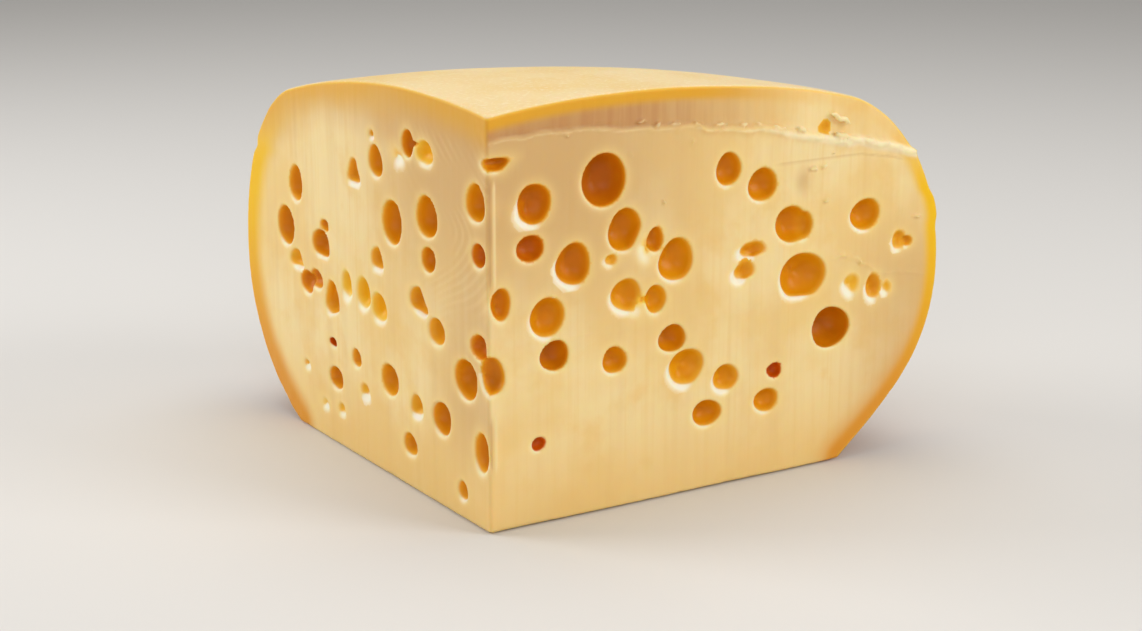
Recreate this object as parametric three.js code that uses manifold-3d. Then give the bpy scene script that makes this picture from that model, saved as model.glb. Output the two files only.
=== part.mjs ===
// A wedge of large-eyed, yellow-coated cheese: a quarter cut from a low domed wheel.
// Millimetres, +Z up. The cut's sharp edge is the wheel's own axis and points to -Y,
// the coated rim faces +Y, and the origin is at the middle of the box, on its underside.
import * as THREE from 'three';
import { mergeGeometries, mergeVertices } from 'three/addons/utils/BufferGeometryUtils.js';
import Module from 'manifold-3d';

// ---------------------------------------------------------------- the wheel
const WHEEL_RADIUS = 183.5;          // at the belly, where the wheel is widest
const CENTRE_HEIGHT = 135;           // at the wheel's axis
const BELLY_HEIGHT = 63;
const SHOULDER_INSET = 41.5;         // where the domed top turns down into the side
const SHOULDER_DROP = 8;             // below CENTRE_HEIGHT
const FOOT_INSET = 42;               // where the side meets the flat underside
const DOME_LIFT = 6;                 // how far the dome's tangents rise above the centre
const SECTOR_ANGLE = Math.PI / 2;    // a quarter of the wheel

// How far each of the outline's curves reaches along its end tangents, as shares of its
// own width or height.
const LOWER_SIDE = { footOut: 0.54, footUp: 0.22, bellyDown: 0.52 };
const UPPER_SIDE = { bellyUp: 0.57, shoulderOut: 0.46, shoulderDown: 0.07 };
const DOME = { shoulderAlong: 0.69, shoulderLift: 0.5, centreAlong: 0.32 };

// ---------------------------------------------------------------- its natural unevenness
const RIM_LEAN = 4.5;                // the side towards +X stands higher by this at the belly
const TOP_CROWN = 3;                 // the top rises between the two cut faces
const FLAT_FADE = 8;                 // height in which both die out towards the underside

// ---------------------------------------------------------------- fineness of the solid
const DOME_STEPS = 8;
const SIDE_STEPS = 9;
const SECTOR_STEPS = 18;
const SMALL_EYE = 8;                 // an eye less wide than this gets fewer sides
const EYE_SIDES = { small: 8, large: 14 };
const EYE_RINGS = { small: 2, large: 3 };
const CUT_MARGIN = 4;                // how far an eye's cutter stands out of the face

// ---------------------------------------------------------------- the eyes
// Each eye is a bubble that the knife opened. A row is its place along the face from the
// sharp edge (% of WHEEL_RADIUS), its place up the face (% of CENTRE_HEIGHT), and the
// width, height and depth of the opening in millimetres.
const LEFT_EYES = [
  [4.4, 79.1, 12, 12.5, 7.5], [3.4, 67, 8.5, 8.2, 6], [3.7, 45, 10.5, 8, 6],
  [8.4, 35.6, 14.5, 13.5, 8], [1.8, 19.4, 12.5, 14, 4.2], [9.8, 7.3, 6.7, 6.7, 4],
  [17, 22.8, 13.2, 11.4, 7], [18.6, 44.1, 11.6, 9.2, 5], [21.5, 61, 9, 8.4, 6],
  [22, 71.4, 14.3, 13.3, 8.5], [22.4, 86.9, 12.4, 8.5, 4], [28.5, 87.9, 8, 9.3, 6],
  [32.1, 84.3, 7.8, 5.7, 1], [24.9, 49.7, 13.5, 11, 5.5], [26.6, 22.4, 9.6, 9.2, 3.5],
  [29.3, 11.5, 10, 8.2, 5], [35.1, 66.7, 14.2, 15.2, 8.5], [37.2, 25.5, 12.6, 11.5, 6.5],
  [41, 80.8, 10.3, 11.3, 6.5], [42.3, 87.3, 3.7, 3.5, 2], [41.2, 55.7, 9.3, 9, 4.5],
  [40.9, 43.2, 11.6, 11.3, 5.5], [47.2, 45.1, 10.7, 12.5, 5.5], [47.5, 19.1, 7.3, 5.5, 2.2],
  [50.2, 75.8, 10.3, 10.4, 4.5], [50.7, 26.8, 7, 6.6, 4.5], [54.2, 45.3, 8.3, 11.2, 3.2],
  [57.7, 10.5, 6, 4.6, 2], [60.8, 39.5, 12.2, 13.3, 6], [59.7, 18.4, 10.6, 8.5, 5.5],
  [60.6, 27.9, 5, 2.9, 4], [63.2, 58.6, 6.4, 4.2, 3.5], [65, 53.2, 14, 10.3, 6.5],
  [64.9, 9.7, 6.5, 4, 1.3], [67.5, 43, 10, 7.6, 6], [71.7, 41.1, 10.2, 9.2, 6],
  [72.7, 18, 6, 3.8, 1.5], [75.8, 67, 11.2, 13, 6.5], [76.1, 46, 12.5, 8.2, 3.8],
  [80.8, 54.2, 14.4, 14.3, 7.5],
];
const RIGHT_EYES = [
  [2.1, 89, 10.8, 5.2, 4.5], [2.7, 55.9, 7.6, 10.8, 4], [1.4, 38.8, 8, 12, 4],
  [8.9, 78, 14.1, 13.9, 6.5], [8.6, 68.1, 9.7, 8.7, 8], [12, 51, 13.5, 13.2, 6.5],
  [13.4, 41.4, 10.3, 9.9, 7.5], [10, 20.4, 4.9, 4, 6], [17.1, 62.6, 13.8, 15, 6.5],
  [23.5, 82.1, 16.9, 17.2, 10.5], [24.6, 62.5, 6.9, 4.6, 1.5], [25.9, 37.7, 9.5, 9.1, 5.5],
  [27.9, 69.4, 13, 14.1, 7.5], [28.6, 53, 12.4, 13, 5], [33.3, 65.5, 9, 10.3, 4],
  [34.5, 51.3, 8.6, 9.8, 6.5], [38.8, 60.2, 13.9, 14.8, 7], [38.1, 40.7, 10.7, 9.8, 9],
  [41.3, 32.7, 14.6, 13.5, 5.5], [46, 19.9, 12, 9.2, 6], [50, 80.9, 10.3, 11.2, 6],
  [50.1, 28.1, 11.2, 9.8, 4.5], [53.8, 54.3, 9.9, 8.9, 3], [55.7, 59.3, 11.4, 8.4, 3.2],
  [57.7, 75.9, 11.8, 11.7, 6.5], [59.5, 20.2, 10.2, 8.6, 5], [61.2, 27.7, 5.6, 4.9, 7],
  [64.4, 64.8, 13.3, 12.8, 7.5], [67.4, 64.1, 7.2, 9.8, 5], [67.4, 51, 19.5, 17.3, 8],
  [72.2, 88.1, 6, 3.5, 2], [74.2, 36.4, 15.8, 14.5, 11], [78.9, 47, 7.5, 8.9, 1.4],
  [81.8, 64.6, 12.8, 11.6, 6.5], [84.3, 45.3, 7.2, 9.6, 3.5], [87.5, 44.5, 4.8, 5.1, 1.2],
  [90.2, 56.6, 6.4, 7.3, 3], [92.3, 56, 4, 3.8, 3],
];

const wasm = await Module();
wasm.setup();

// ---------------------------------------------------------------- solids
function toManifold(geometry) {
  const bare = geometry.clone();
  bare.deleteAttribute('normal');
  bare.deleteAttribute('uv');
  const merged = mergeVertices(bare);
  const corners = Array.from(merged.index.array);
  const kept = [];
  for (let i = 0; i < corners.length; i += 3) {
    const [a, b, c] = corners.slice(i, i + 3);
    if (a !== b && b !== c && c !== a) kept.push(a, b, c);
  }
  const mesh = new wasm.Mesh({
    numProp: 3,
    vertProperties: new Float32Array(merged.attributes.position.array),
    triVerts: new Uint32Array(kept),
  });
  mesh.merge();
  return new wasm.Manifold(mesh);
}

function toGeometry(solid) {
  const mesh = solid.getMesh();
  const geometry = new THREE.BufferGeometry();
  geometry.setAttribute('position', new THREE.BufferAttribute(mesh.vertProperties, 3));
  geometry.setIndex(new THREE.BufferAttribute(mesh.triVerts, 1));
  geometry.computeVertexNormals();
  return geometry;
}

function reversed(geometry) {
  const corners = geometry.index.array;
  for (let i = 0; i < corners.length; i += 3) {
    [corners[i + 1], corners[i + 2]] = [corners[i + 2], corners[i + 1]];
  }
  return geometry;
}

// ---------------------------------------------------------------- the uncut wedge
// Half of the wheel's cross-section, from the middle of the underside round to the top:
// x is the distance from the axis and y the height.
function wheelOutline() {
  const shoulder = new THREE.Vector2(WHEEL_RADIUS - SHOULDER_INSET, CENTRE_HEIGHT - SHOULDER_DROP);
  const belly = new THREE.Vector2(WHEEL_RADIUS, BELLY_HEIGHT);
  const foot = new THREE.Vector2(WHEEL_RADIUS - FOOT_INSET, 0);
  const centre = new THREE.Vector2(0, CENTRE_HEIGHT);
  const lowerSide = new THREE.CubicBezierCurve(
    foot,
    new THREE.Vector2(foot.x + LOWER_SIDE.footOut * FOOT_INSET, LOWER_SIDE.footUp * BELLY_HEIGHT),
    new THREE.Vector2(WHEEL_RADIUS, LOWER_SIDE.bellyDown * BELLY_HEIGHT),
    belly,
  );
  const sideRise = shoulder.y - belly.y;
  const upperSide = new THREE.CubicBezierCurve(
    belly,
    new THREE.Vector2(WHEEL_RADIUS, belly.y + UPPER_SIDE.bellyUp * sideRise),
    new THREE.Vector2(
      shoulder.x + UPPER_SIDE.shoulderOut * SHOULDER_INSET,
      shoulder.y - UPPER_SIDE.shoulderDown * sideRise,
    ),
    shoulder,
  );
  const dome = new THREE.CubicBezierCurve(
    shoulder,
    new THREE.Vector2(DOME.shoulderAlong * shoulder.x, CENTRE_HEIGHT + DOME.shoulderLift * DOME_LIFT),
    new THREE.Vector2(DOME.centreAlong * shoulder.x, CENTRE_HEIGHT + DOME_LIFT),
    centre,
  );
  return [
    new THREE.Vector2(0, 0),
    ...lowerSide.getPoints(SIDE_STEPS),
    ...upperSide.getPoints(SIDE_STEPS).slice(1),
    ...dome.getPoints(DOME_STEPS).slice(1),
  ];
}

// Lifts the turned shape out of its perfect roundness, and leaves the underside flat.
function unevenLift(x, y, z) {
  const lean = RIM_LEAN * x / WHEEL_RADIUS;
  const crown = TOP_CROWN * (y * y - x * x) / WHEEL_RADIUS ** 2;
  return (lean + crown) * (1 - Math.exp(-z / FLAT_FADE));
}

function uncutWedge() {
  const outline = wheelOutline();
  const start = Math.PI - SECTOR_ANGLE / 2;
  const end = Math.PI + SECTOR_ANGLE / 2;
  const rind = new THREE.LatheGeometry(outline, SECTOR_STEPS, start, SECTOR_ANGLE);
  const cutFace = new THREE.ShapeGeometry(new THREE.Shape(outline));
  const startFace = cutFace.clone().rotateY(start - Math.PI / 2);
  const endFace = reversed(cutFace.clone().rotateY(end - Math.PI / 2));
  const wedge = mergeGeometries([rind, startFace, endFace]).rotateX(Math.PI / 2);
  const place = wedge.attributes.position;
  for (let i = 0; i < place.count; i += 1) {
    const [x, y, z] = [place.getX(i), place.getY(i), place.getZ(i)];
    place.setZ(i, z + unevenLift(x, y, z));
  }
  return toManifold(wedge);
}

// ---------------------------------------------------------------- the eyes' cutters
// The cutter is the part of a ball that lies below the face, with a straight neck that
// stands out of it. It points down its own -Y, and is stretched to the opening's shape.
function eyeCutter(width, height, depth) {
  const size = width < SMALL_EYE ? 'small' : 'large';
  const mouth = Math.sqrt(width * height) / 2;
  const ball = (mouth * mouth + depth * depth) / (2 * depth);
  const centre = ball - depth;
  const mouthAngle = Math.atan2(mouth, -centre);
  const profile = [];
  for (let i = 0; i <= EYE_RINGS[size]; i += 1) {
    const angle = Math.PI + (mouthAngle - Math.PI) * i / EYE_RINGS[size];
    profile.push(new THREE.Vector2(Math.abs(ball * Math.sin(angle)), centre + ball * Math.cos(angle)));
  }
  profile[0].x = 0;
  profile.push(new THREE.Vector2(mouth, CUT_MARGIN), new THREE.Vector2(0, CUT_MARGIN));
  return new THREE.LatheGeometry(profile, EYE_SIDES[size])
    .scale(width / (2 * mouth), 1, height / (2 * mouth));
}

// Stands the cutters on one cut face. The face runs from the axis towards `along`, and
// `outward` is its normal.
function faceCutters(eyes, along, outward) {
  const upright = new THREE.Vector3().crossVectors(along, outward);
  const stand = new THREE.Matrix4().makeBasis(along, outward, upright);
  return eyes.map(([alongShare, upShare, width, height, depth]) => {
    const cutter = eyeCutter(width, height, depth).applyMatrix4(stand);
    const place = along.clone().multiplyScalar(alongShare / 100 * WHEEL_RADIUS);
    cutter.translate(place.x, place.y, upShare / 100 * CENTRE_HEIGHT);
    return toManifold(cutter);
  });
}

// ---------------------------------------------------------------- the part
function cheeseWedge() {
  const half = SECTOR_ANGLE / 2;
  const leftAlong = new THREE.Vector3(-Math.sin(half), Math.cos(half), 0);
  const rightAlong = new THREE.Vector3(Math.sin(half), Math.cos(half), 0);
  const leftOutward = new THREE.Vector3(-Math.cos(half), -Math.sin(half), 0);
  const rightOutward = new THREE.Vector3(Math.cos(half), -Math.sin(half), 0);
  const cutters = [
    ...faceCutters(LEFT_EYES, leftAlong, leftOutward),
    ...faceCutters(RIGHT_EYES, rightAlong, rightOutward),
  ];
  const solid = cutters.reduce((body, cutter) => body.subtract(cutter), uncutWedge());
  const cheese = new THREE.MeshStandardMaterial({ color: 0xf0d79c, roughness: 0.42, metalness: 0 });
  const mesh = new THREE.Mesh(toGeometry(solid), cheese);
  mesh.name = 'cheese_wedge';
  mesh.position.y = -WHEEL_RADIUS / 2;
  return mesh;
}

const part = new THREE.Group();
part.add(cheeseWedge());

export default part;
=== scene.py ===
"""The looks of the cheese wedge: one sculpted mesh, its material, the light and the camera.

The mesh is the zero level of a distance field. Lengths in the sculpting part are in
millimetres, in the frame (u, v, z): u runs from the wheel's axis along the left cut face,
v along the right one, and z is up. So the left face is v = 0 and the right face u = 0.
"""
import math

import bpy
import numpy as np
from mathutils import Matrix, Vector


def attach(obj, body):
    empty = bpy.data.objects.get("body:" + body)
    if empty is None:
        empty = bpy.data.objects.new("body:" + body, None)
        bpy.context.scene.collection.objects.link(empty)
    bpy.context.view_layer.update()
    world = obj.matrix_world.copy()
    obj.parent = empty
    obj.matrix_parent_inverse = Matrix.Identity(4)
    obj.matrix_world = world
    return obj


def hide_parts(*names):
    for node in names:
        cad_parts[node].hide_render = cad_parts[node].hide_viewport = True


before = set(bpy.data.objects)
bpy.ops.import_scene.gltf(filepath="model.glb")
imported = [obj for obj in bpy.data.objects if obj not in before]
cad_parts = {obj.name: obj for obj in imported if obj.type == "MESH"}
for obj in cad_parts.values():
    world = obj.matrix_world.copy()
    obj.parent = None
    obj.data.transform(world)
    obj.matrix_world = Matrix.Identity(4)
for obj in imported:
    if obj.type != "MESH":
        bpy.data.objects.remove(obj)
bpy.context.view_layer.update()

MM = 0.001
SEED = 11

# ---------------------------------------------------------------- the wheel, as in the CAD
WHEEL_RADIUS = 183.5
CENTRE_HEIGHT = 135.0
BELLY_HEIGHT = 63.0
SHOULDER_INSET = 41.5
SHOULDER_DROP = 8.0
FOOT_INSET = 42.0
DOME_LIFT = 6.0
RIM_LEAN = 4.5            # over its radius the wheel rises by this to the right
TOP_CROWN = 3.0           # and it rises by this towards the middle of the rim
FLAT_FADE = 8.0           # both fade out below about this height, so the underside is flat
COS_45 = math.sqrt(0.5)
# The outline's curve handles, each as (its share outward, its share upward) of its own stretch.
LOWER_SIDE = ((0.54, 0.22), (1.0, 0.52))
UPPER_SIDE = ((0.0, 0.57), (0.46, -0.07))
DOME = ((0.69, 0.5), (0.32, 1.0))

# ---------------------------------------------------------------- how fine the sculpting is
CELL = 0.9
INSET = 0.25              # the skin lies this far inside the solid
EDGE_SOFT = 1.3           # how widely the sharp edge is rounded
RIND_SOFT = 1.1           # and the edges between the cut faces and the rind
TABLE_STEP = 0.5
TABLE_BEYOND = 8          # the outline's tables reach this far past the wheel
TABLE_ABOVE = 12          # and this far past the height at its axis
RELIEF_STEP = 0.3
RELIEF_LOW = -3           # the relief's tables start here, both along and up
GRID_MARGIN = 1.5
GRID_ABOVE = 6            # room for the domed top over CENTRE_HEIGHT
CURVE_STEPS = 48
FIT_ROUNDS = 3
RIND_FINE = 3.0           # the rind keeps its small triangles this far from the cut faces
KEPT_SHARE = 0.58         # the share of the triangles that thinning leaves

# ---------------------------------------------------------------- the eyes
# Each eye: along (% of WHEEL_RADIUS), up (% of CENTRE_HEIGHT), width, height, depth, how soft
# its lower lip is (0 to 1), and how dark its wall gets (0 amber, 1 brown, 2 red). Some have
# straight sides: (direction in degrees from along towards up, distance from the middle).
LEFT_EYES = [
    (4.4, 79.1, 12, 12.5, 7.5, 0.3, 0.5), (3.4, 67, 8.5, 8.2, 5, 0.2, 1.4),
    (3.7, 45, 10.5, 8, 5, 0.1, 1.3), (8.4, 35.6, 14.5, 13.5, 8, 0.3, 0.6),
    (3.0, 19.4, 9.4, 13.5, 5.5, 0.3, 0.7, ((180, 4.0),)), (9.8, 7.3, 6.7, 6.7, 4, 0.5, 0.5),
    (17, 22.8, 13.2, 11.4, 7, 0.3, 0.6), (18.6, 44.1, 11.6, 9.2, 5, 0.3, 0.4),
    (21.5, 61, 9, 8.4, 6, 0.2, 0.7), (22, 71.4, 14.3, 13.3, 8.5, 0.3, 0.5),
    (22.4, 86.9, 12.4, 8.5, 4, 0.5, 0.1), (28.5, 87.9, 8, 9.3, 6, 0.2, 0.8),
    (25.6, 88.3, 4, 1.6, 2, 0, 0.9), (32.1, 84.3, 7.8, 5.7, 1, 1.0, 0.6),
    (24.9, 49.7, 13.5, 11, 5.5, 0.9, 0.5, ((142, 3.6), (-80, 4.0))),
    (26.6, 22.4, 9.6, 9.2, 3.5, 1.0, 0.5), (29.3, 11.5, 10, 8.2, 5, 0.4, 0.5),
    (35.1, 66.7, 14.2, 15.2, 8.5, 0.4, 0.5), (37.2, 25.5, 12.6, 11.5, 6.5, 0.3, 0.5),
    (41, 80.8, 10.3, 11.3, 6.5, 0.4, 0.5), (42.3, 87.3, 3.7, 3.5, 2, 0.9, 0.8),
    (41.2, 55.7, 9.3, 9, 4.5, 0.9, 0.5, ((-95, 3.4), (150, 3.2))),
    (40.9, 43.2, 11.6, 11.3, 4.5, 0.6, 0.0), (47.2, 45.1, 10.7, 12.5, 4.5, 0.6, 0.0),
    (47.5, 19.1, 7.3, 5.5, 2.2, 1.0, 0.6),
    (50.2, 75.8, 10.3, 10.4, 4.5, 0.9, 0.6, ((-90, 3.6), (160, 3.4), (25, 3.6))),
    (50.7, 26.8, 7, 6.6, 4.5, 0.4, 0.5), (54.2, 45.3, 8.3, 11.2, 3.2, 0.7, 0.1),
    (57.7, 10.5, 6, 4.6, 2, 0.6, 0.4),
    (60.8, 39.5, 12.2, 13.3, 6, 0.6, 0.4, ((-110, 5.0), (20, 4.6))),
    (59.7, 18.4, 10.6, 8.5, 5.5, 0.4, 0.7), (60.6, 27.9, 5, 2.9, 4, 0.3, 2.0),
    (63.2, 58.6, 6.4, 4.2, 3.5, 0.2, 0.9), (65, 53.2, 14, 10.3, 6.5, 0.6, 0.8, ((-90, 4.3),)),
    (64.9, 9.7, 6.5, 4, 1.3, 0.8, 0.3), (67.5, 43, 10, 7.6, 4, 0.4, 1.1),
    (71.7, 41.1, 10.2, 9.2, 4.5, 0.4, 1.1), (72.7, 18, 6, 3.8, 1.5, 0.9, 0.8),
    (75.8, 67, 11.2, 13, 6.5, 0.4, 0.6),
    (76.1, 46, 12.5, 8.2, 3.8, 1.0, 0.4, ((-90, 2.6), (155, 4.2))),
    (80.8, 54.2, 14.4, 14.3, 7.5, 0.5, 0.7),
]
RIGHT_EYES = [
    (2.1, 89, 10.8, 5.2, 4.5, 0, 0.9, ((90, 1.7), (-47, 3.0))), (2.7, 55.9, 7.6, 10.8, 4.5, 0, 0.9),
    (0.9, 38.8, 9.5, 12.5, 6, 0.4, 1.0), (9.5, 78.5, 12.6, 13.2, 6.5, 0.8, 1.0),
    (7.6, 76.6, 8, 8.5, 1.5, 0.5, 0.0), (8.6, 68.1, 9.7, 8.7, 6, 0.1, 1.4),
    (12, 51, 13.5, 13.2, 6.5, 0.7, 0.6), (13.4, 41.4, 10.3, 9.9, 7.5, 0.3, 0.8),
    (10, 20.4, 4.9, 4.4, 3.6, 0.1, 2.0), (17.3, 62.8, 13.2, 14.4, 6.5, 0.9, 0.9),
    (23.5, 82.1, 16.9, 17.2, 9.5, 0.2, 1.0), (25, 62.6, 5, 4, 2.4, 0.5, 0.6),
    (25.9, 37.7, 9.5, 9.1, 5.5, 0.4, 0.6), (27.9, 69.4, 13, 14.1, 7.5, 0.3, 0.6, ((-28, 5.4),)),
    (28.2, 53.3, 11.8, 12.4, 5, 0.9, 0.6, ((-35, 5.2),)), (30.6, 51.6, 8, 8.5, 1.4, 0.4, 0.0),
    (34.3, 66, 6, 8.6, 5, 0.2, 0.7), (32.6, 64.6, 7.5, 9, 1.3, 0.4, 0.0),
    (34.5, 51.3, 8.6, 9.8, 5, 0.2, 0.4), (31.6, 51.6, 5.5, 2, 2.2, 0, 0.8),
    (38.8, 60.2, 13.9, 14.8, 7, 0.6, 0.5), (38.1, 40.7, 10.7, 9.8, 6.8, 0.1, 0.6),
    (41.3, 32.7, 14.6, 13.5, 5.5, 1.0, 0.5), (46, 19.9, 12, 9.2, 6, 0.4, 0.6),
    (50, 80.9, 10.3, 11.2, 6, 0.4, 0.7), (50.1, 28.1, 11.2, 9.8, 4.5, 0.9, 0.6),
    (53.8, 54.3, 9.9, 8.9, 3, 1.0, 0.8, ((-70, 2.2),)),
    (55.7, 59.3, 11.4, 8.4, 3.2, 1.0, 0.9, ((-75, 1.6),)), (57.7, 75.9, 11.8, 11.7, 6.5, 0.4, 0.6),
    (59.5, 20.2, 10.2, 8.6, 5, 0.4, 0.6), (61.2, 27.7, 5.6, 4.9, 4.5, 0.1, 2.0),
    (64.4, 64.8, 13.3, 12.8, 7.5, 0.3, 0.5), (67.4, 64.1, 7.2, 9.8, 5, 0.3, 0.5),
    (67.4, 51, 19.5, 17.3, 8, 0.9, 0.5, ((-92, 7.0),)), (72.0, 88.3, 5, 4.4, 2.6, 0.2, 0.6),
    (74.2, 36.4, 15.8, 14.5, 11, 0.2, 0.7), (78.9, 47, 7.5, 8.9, 2.2, 0.8, 0.4),
    (81.8, 64.6, 12.8, 11.6, 6.5, 0.6, 0.5), (84.3, 45.3, 7.2, 9.6, 3.5, 0.8, 0.7),
    (87.5, 44.5, 4.8, 5.1, 1.8, 0.7, 0.5), (90.2, 56.6, 6.4, 7.3, 3, 0.6, 0.6),
    (92.3, 56, 4, 3.8, 3, 0.4, 0.7),
]


# ---------------------------------------------------------------- small mathematics
def smooth_step(low, high, x):
    """0 at low, 1 at high, and smooth in between. Low may be the larger."""
    t = np.clip((x - low) / (high - low), 0, 1)
    return t * t * (3 - 2 * t)


def fade(low, high, x):
    """1 at low, 0 at high, and smooth in between."""
    return 1 - smooth_step(low, high, x)


def bell(x, middle, half):
    """1 at the middle, about a third at the half width to each side, and then near 0."""
    return np.exp(-((x - middle) / half) ** 2)


def soft_max(a, b, width):
    """The larger of a and b, rounded over where they are nearly equal."""
    return np.maximum(a, b) + np.maximum(width - np.abs(a - b), 0) ** 2 / (4 * width)


def lattice(ix, iy, seed):
    """A repeatable random number from 0 to 1 for each whole-numbered place."""
    h = (ix * 374761393 + iy * 668265263 + seed * 974634777) & 0xFFFFFFFF
    h = ((h ^ (h >> 13)) * 1274126177) & 0xFFFFFFFF
    return (h ^ (h >> 16)) / 0xFFFFFFFF


def wander(x, y, seed):
    """Smooth noise from -1 to 1 that changes over a length of about 1. Each use has a seed
    of its own, and one that only changes along has y = 0."""
    ix = np.floor(x).astype(np.int64)
    iy = np.floor(y).astype(np.int64)
    fx = x - ix
    fy = y - iy
    fx = fx * fx * (3 - 2 * fx)
    fy = fy * fy * (3 - 2 * fy)
    near = lattice(ix, iy, seed) * (1 - fx) + lattice(ix + 1, iy, seed) * fx
    far = lattice(ix, iy + 1, seed) * (1 - fx) + lattice(ix + 1, iy + 1, seed) * fx
    return 2 * (near * (1 - fy) + far * fy) - 1


def noises(rows, a, b):
    """The sum of some noises, each (height, length along, length up, seed)."""
    return sum(height * wander(a / long, b / tall, seed) for height, long, tall, seed in rows)


def at_table(table, x, y, x_low, y_low, step):
    """The table's value at x, y, between its four nearest entries."""
    fx = np.clip((x - x_low) / step, 0, table.shape[0] - 1.001)
    fy = np.clip((y - y_low) / step, 0, table.shape[1] - 1.001)
    ix = fx.astype(np.int32)
    iy = fy.astype(np.int32)
    fx = fx - ix
    fy = fy - iy
    near = table[ix, iy] * (1 - fx) + table[ix + 1, iy] * fx
    far = table[ix, iy + 1] * (1 - fx) + table[ix + 1, iy + 1] * fx
    return near * (1 - fy) + far * fy


# ---------------------------------------------------------------- the wheel's outline
def bezier(start, start_handle, end_handle, end):
    t = np.linspace(0, 1, CURVE_STEPS)[:, None]
    corners = [np.array(c, float) for c in (start, start_handle, end_handle, end)]
    shares = ((1 - t) ** 3, 3 * t * (1 - t) ** 2, 3 * t * t * (1 - t), t ** 3)
    return sum(s * c for s, c in zip(shares, corners))


def wheel_outline():
    """Half of the wheel's cross-section as points (distance from the axis, height)."""
    shoulder = (WHEEL_RADIUS - SHOULDER_INSET, CENTRE_HEIGHT - SHOULDER_DROP)
    belly = (WHEEL_RADIUS, BELLY_HEIGHT)
    foot = (WHEEL_RADIUS - FOOT_INSET, 0)
    rise = shoulder[1] - belly[1]
    lower = bezier(
        foot, *((foot[0] + out * FOOT_INSET, up * BELLY_HEIGHT) for out, up in LOWER_SIDE), belly)
    (in_low, up_low), (out_high, up_high) = UPPER_SIDE
    upper = bezier(
        belly, (WHEEL_RADIUS - in_low * SHOULDER_INSET, belly[1] + up_low * rise),
        (shoulder[0] + out_high * SHOULDER_INSET, shoulder[1] + up_high * rise), shoulder)
    dome = bezier(
        shoulder, *((out * shoulder[0], CENTRE_HEIGHT + up * DOME_LIFT) for out, up in DOME),
        (0, CENTRE_HEIGHT))
    return np.concatenate([[(0, 0)], lower, upper[1:], dome[1:]])


def outline_tables():
    """Distances for a grid of (distance from the axis, height): signed to the whole
    outline, and plain to its coated part, which leaves the underside out."""
    line = wheel_outline()
    r = np.arange(0, WHEEL_RADIUS + TABLE_BEYOND, TABLE_STEP)
    z = np.arange(-TABLE_BEYOND, CENTRE_HEIGHT + TABLE_ABOVE, TABLE_STEP)
    point = np.stack(np.meshgrid(r, z, indexing="ij"), -1).reshape(-1, 2)
    nearest = np.full(len(point), np.inf)
    nearest_coat = np.full(len(point), np.inf)
    inside = np.zeros(len(point), bool)
    for (ax, ay), (bx, by) in zip(line[:-1], line[1:]):
        along = np.array([bx - ax, by - ay])
        offset = point - (ax, ay)
        share = np.clip(offset @ along / (along @ along), 0, 1)
        gap = offset - share[:, None] * along
        square = np.einsum("ij,ij->i", gap, gap)
        nearest = np.minimum(nearest, square)
        if by > 0:
            nearest_coat = np.minimum(nearest_coat, square)
        crossed = (ay > point[:, 1]) != (by > point[:, 1])
        if ay != by:
            crossing = ax + (point[:, 1] - ay) * (bx - ax) / (by - ay)
            inside ^= crossed & (point[:, 0] < crossing)
    distance = np.where(inside, -1, 1) * np.sqrt(nearest)
    return distance.reshape(len(r), len(z)), np.sqrt(nearest_coat).reshape(len(r), len(z))


OUTLINE, COAT = outline_tables()


def wheel_distance(table, u, v, z):
    """The table's distance at points of the uneven wheel, whose rim leans to one side and
    whose top is a little saddle-shaped. Its underside stays flat."""
    x = (v - u) * COS_45
    y = (u + v) * COS_45
    lean = RIM_LEAN * x / WHEEL_RADIUS
    crown = TOP_CROWN * (y * y - x * x) / WHEEL_RADIUS ** 2
    low = z - (lean + crown) * (1 - np.exp(-np.maximum(z, 0) / FLAT_FADE))
    return at_table(table, np.sqrt(u * u + v * v), low, 0, -TABLE_BEYOND, TABLE_STEP)


# ---------------------------------------------------------------- relief of the cut faces
# Noises as (height, length along, length up, seed): broad swells, then the knife's streaks.
RIGHT_SWELLS = ((0.30, 41, 33, 1), (0.12, 14, 19, 2))
RIGHT_STREAKS = ((0.07, 3.1, 90, 3), (0.06, 1.5, 55, 4))
LEFT_SWELLS = ((0.30, 37, 31, 21), (0.12, 13, 17, 22))
LEFT_STREAKS = ((0.07, 4.1, 80, 23), (0.05, 1.7, 60, 26))

# Lines across the right face, as points (along, up).
RIDGE = [(0, 127.6), (19.2, 128.2), (41.2, 127.7), (56.3, 126.4), (75.6, 125), (103.7, 122),
         (120.3, 118.7), (141.7, 114.6), (166.1, 109.1), (190, 103)]
LOWER_STEP = [(109.6, 108.4), (120.8, 108.5), (136.8, 108.6), (147.6, 108.5), (161.4, 106.2),
              (166.8, 104.5)]
WAVY_STEP = [(136, 73.6), (141.2, 74), (149.3, 69.8), (157.1, 65.9), (179.9, 62.9)]
KNIFE_LINE = [(27.5, 61.4), (64.7, 60.6), (107.9, 59.9)]

# The torn ridge. Pairs are (at the sharp edge, what is added outward).
RIDGE_WANDER = 0.7
RIDGE_JAG = 0.35
RIDGE_DROP = (0.2, 0.9)   # how much deeper the face lies above it
RIDGE_BURR = (0.3, 1.2)   # how far its rough edge stands out
RIDGE_WIDTH = (0.6, 0.9)
RIDGE_GROOVE = 0.45       # the groove over it near the sharp edge

STEP_DEPTH = 0.35
WAVY_RISE = 0.3
LINE_RISE = 0.14
DIMPLE = (122.5, 101.5, 3.2, 4.5)   # along, up, half width, half height
DIMPLE_DEPTH = 0.7
FLAP_RISE = 0.45
CHATTER_RISE = 0.05
CHATTER_PITCH = 3.1
RIM_CALM = (12, 2)        # the relief fades between these distances from the rim
EDGE_CALM = 9             # and within this distance of the sharp edge


def height_over(line, a, b):
    """How far b is above a line of points that runs along a."""
    return b - np.interp(a, *zip(*line))


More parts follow.
